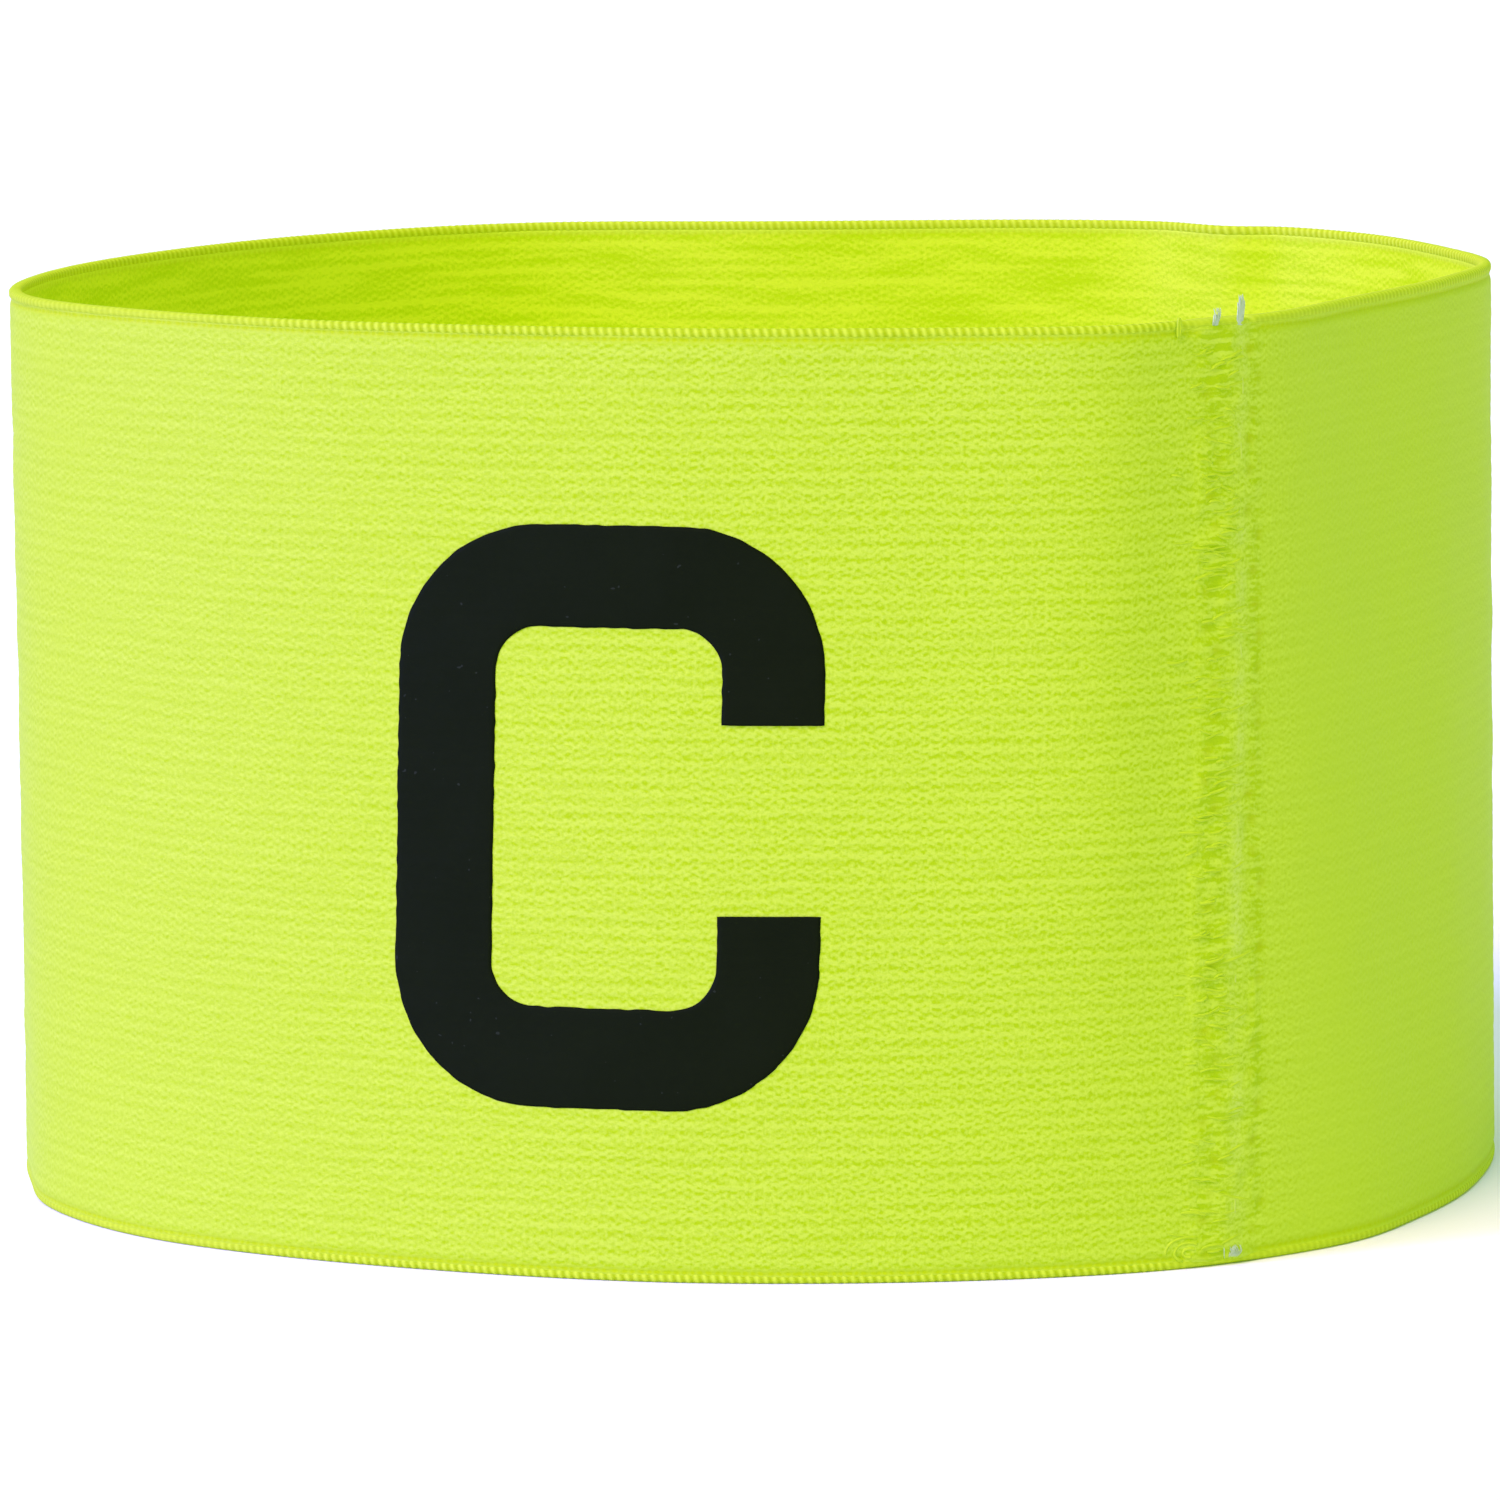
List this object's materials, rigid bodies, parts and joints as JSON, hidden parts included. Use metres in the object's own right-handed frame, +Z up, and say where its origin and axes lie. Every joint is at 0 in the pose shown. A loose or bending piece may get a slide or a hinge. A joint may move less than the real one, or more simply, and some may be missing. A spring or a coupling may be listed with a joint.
{
  "type": "captain armband",
  "caption": "Wide knitted elastic strip sewn into a loop, in bright fluorescent yellow, with beaded edges, a lapped seam and a plain black letter on its front.",
  "frame": {"origin": "on the surface that the band stands on, under the middle of its bounding box", "axes": "+Z up through the hollow, -Y towards the front that carries the letter, +X to the right seen from the front"},
  "size_m": [0.1238, 0.0986, 0.075],
  "materials": {
    "elastic": "matt knitted elastic, fluorescent yellow",
    "film": "matt black heat-transfer film",
    "thread": "pale, slightly clear sewing thread"
  },
  "bodies": {
    "root": {"elastic_band": "elastic", "printed_letter": "film"}
  },
  "joints": []
}
